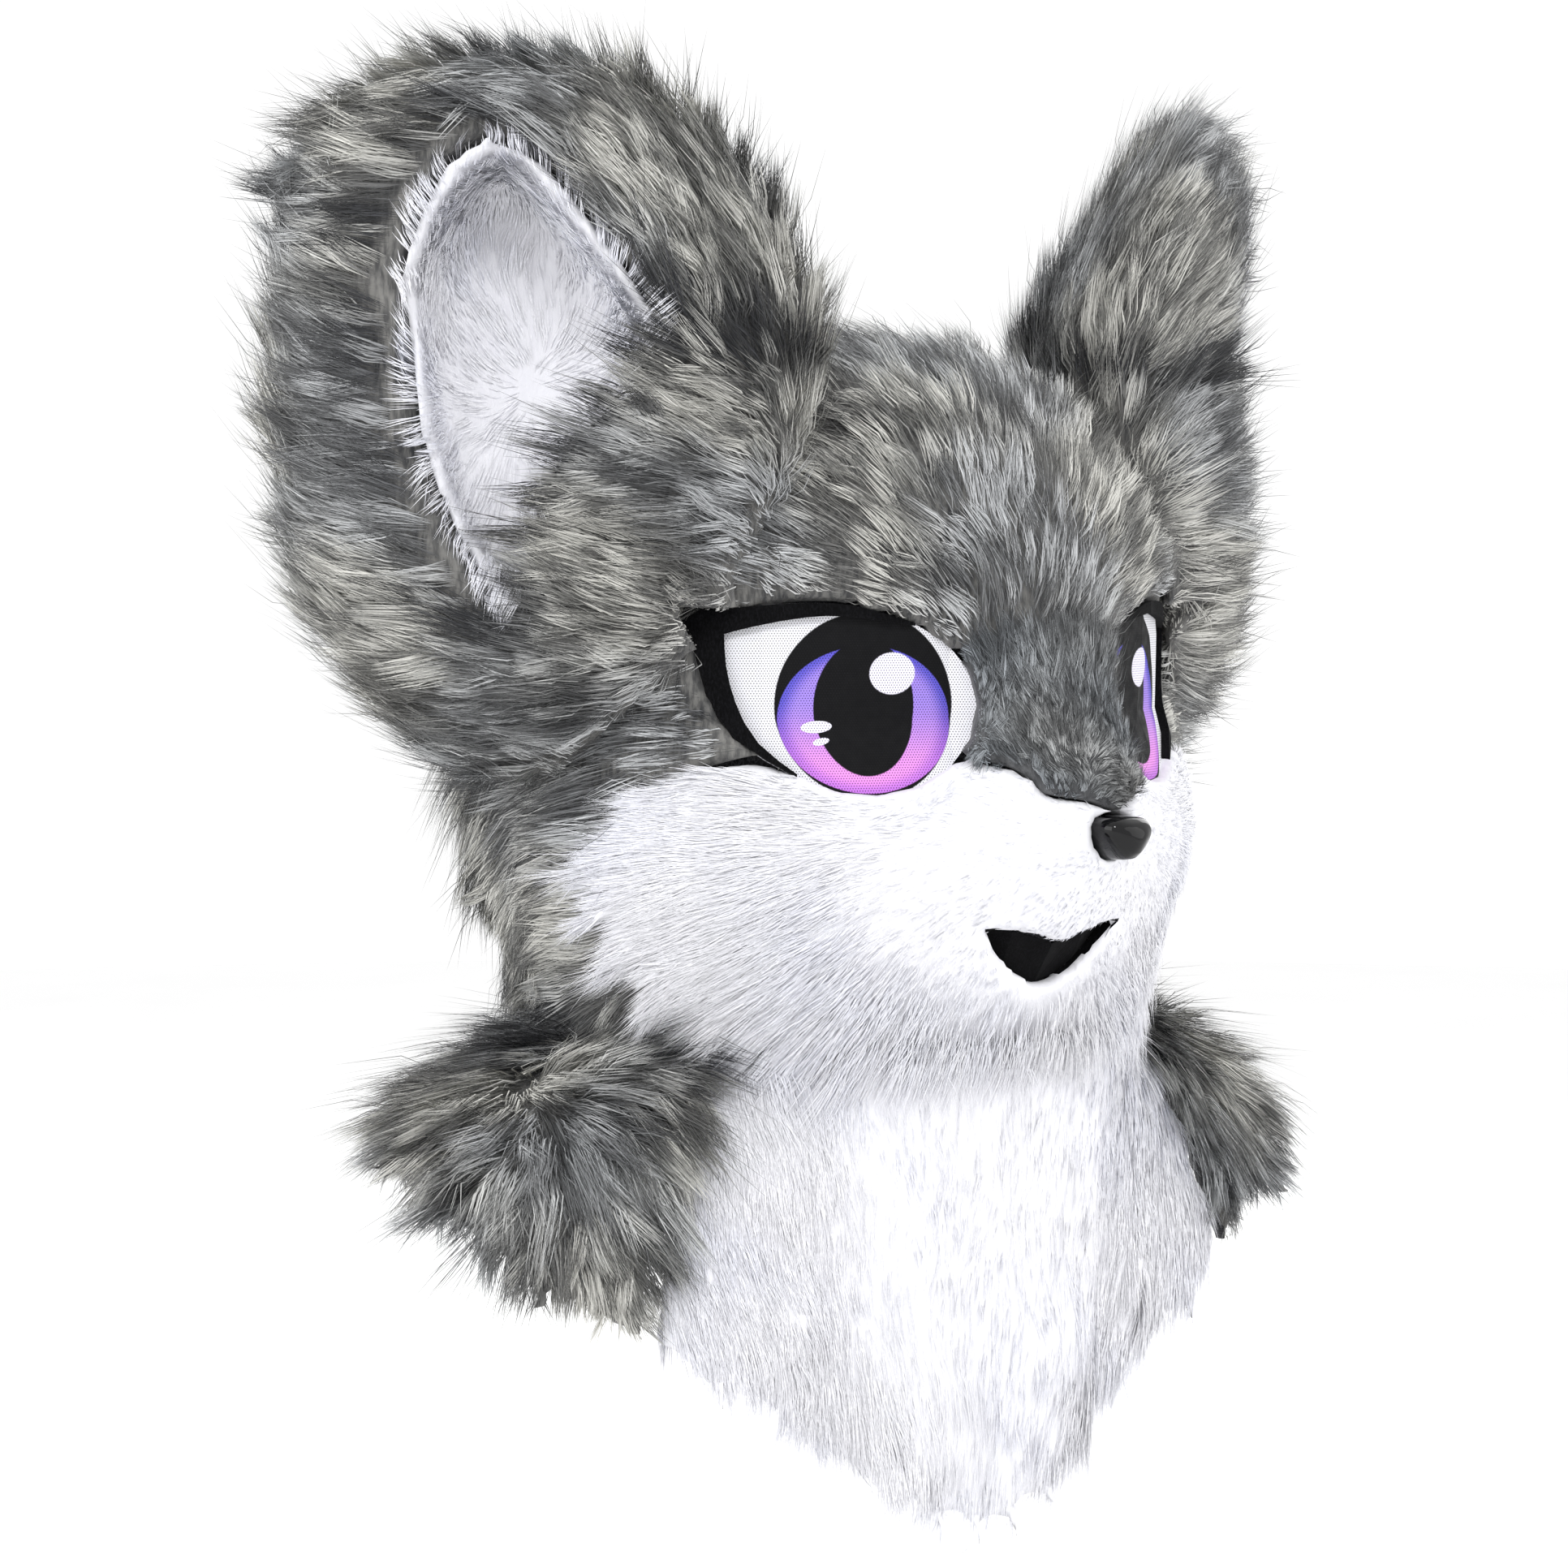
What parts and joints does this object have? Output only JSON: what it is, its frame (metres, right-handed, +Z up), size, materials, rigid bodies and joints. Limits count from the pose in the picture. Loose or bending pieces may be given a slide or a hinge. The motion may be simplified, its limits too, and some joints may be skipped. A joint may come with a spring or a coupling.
{
  "type": "furry costume head",
  "caption": "Grey and white furry canine costume head with big cupped ears, mesh eyes, an open mouth and a fur cape and bib over the shoulders, worn over the head.",
  "frame": {"origin": "inside the top of the foam base, on the vertical axis, where the base sits on the wearer's crown", "axes": "+Z up, the face looks along -Y, +X to the wearer's left"},
  "size_m": [0.5658, 0.3689, 0.6629],
  "materials": {
    "foam": "matt",
    "grey_fur": "matt",
    "bridge_fur": "matt",
    "white_fur": "matt",
    "eye_print": "satin",
    "black_felt": "matt",
    "nose_plastic": "gloss",
    "mouth_fleece": "matt"
  },
  "bodies": {
    "root": {"head_base": "foam", "crown_fur": "grey_fur", "face_fur": "white_fur", "bridge_fur": "bridge_fur", "eye_mesh_left": "eye_print", "eye_mesh_right": "eye_print", "eyelid_left": "black_felt", "eyelid_right": "black_felt", "nose": "nose_plastic", "mouth_lining": "mouth_fleece", "ear_shell_left": "grey_fur", "ear_shell_right": "grey_fur", "ear_lining_left": "white_fur", "ear_lining_right": "white_fur", "shoulder_ruff": "grey_fur", "chest_bib": "white_fur"}
  },
  "joints": []
}
